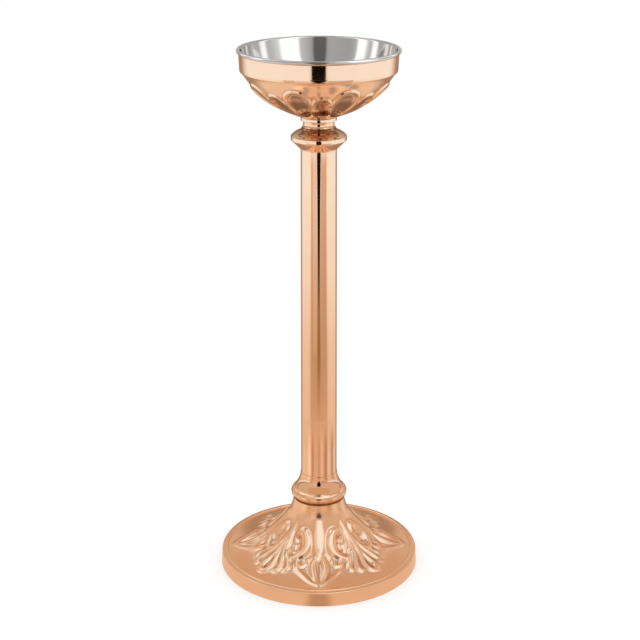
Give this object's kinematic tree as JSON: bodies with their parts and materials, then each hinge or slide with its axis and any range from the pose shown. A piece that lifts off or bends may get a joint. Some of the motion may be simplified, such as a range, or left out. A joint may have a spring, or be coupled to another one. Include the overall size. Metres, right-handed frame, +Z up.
{
  "type": "holy water stoup",
  "caption": "Floor-standing holy water stoup: embossed bell base, tubular stem with collar and knop, and a lobed bowl with a lift-out liner.",
  "frame": {"origin": "on the floor, under the centre of the base", "axes": "+Z up the centre line of the stem; the front of the ornament faces -Y, +X is to the right seen from the front"},
  "size_m": [0.3589, 0.359, 0.94],
  "materials": {
    "embossed_brass": "rose brass sheet, embossed and mirror polished, lacquered",
    "bowl_brass": "rose brass sheet, spun and embossed, mirror polished, lacquered",
    "polished_brass": "turned and mirror polished, lacquered",
    "stainless_liner": "spun stainless steel, polished",
    "steel_hardware": "zinc plated",
    "steel_plate": "zinc plated sheet",
    "iron_ballast": "as cast",
    "felt": "pressed wool felt",
    "turned_aluminium": "turned"
  },
  "bodies": {
    "stand": {"felt_disc": "felt", "base_plate": "steel_plate", "base_plate_screws": "steel_hardware", "base_weight": "iron_ballast", "base_shell": "embossed_brass", "base_nut": "steel_hardware", "base_spring_washer": "steel_hardware", "base_washer": "steel_hardware", "tie_rod": "steel_hardware", "lower_collar": "polished_brass", "stem_lower_plug": "turned_aluminium", "stem_tube": "polished_brass", "stem_upper_plug": "turned_aluminium", "upper_knop": "polished_brass", "neck_spool": "polished_brass", "bowl_shell": "bowl_brass", "bowl_washer": "steel_hardware", "bowl_spring_washer": "steel_hardware", "bowl_nut": "steel_hardware"},
    "liner": {"bowl_liner": "stainless_liner"}
  },
  "joints": [
    {"name": "liner_lift", "type": "slide", "parent": "stand", "child": "liner", "axis": [0, 0, 1], "range_m": [0, 0.12]}
  ]
}
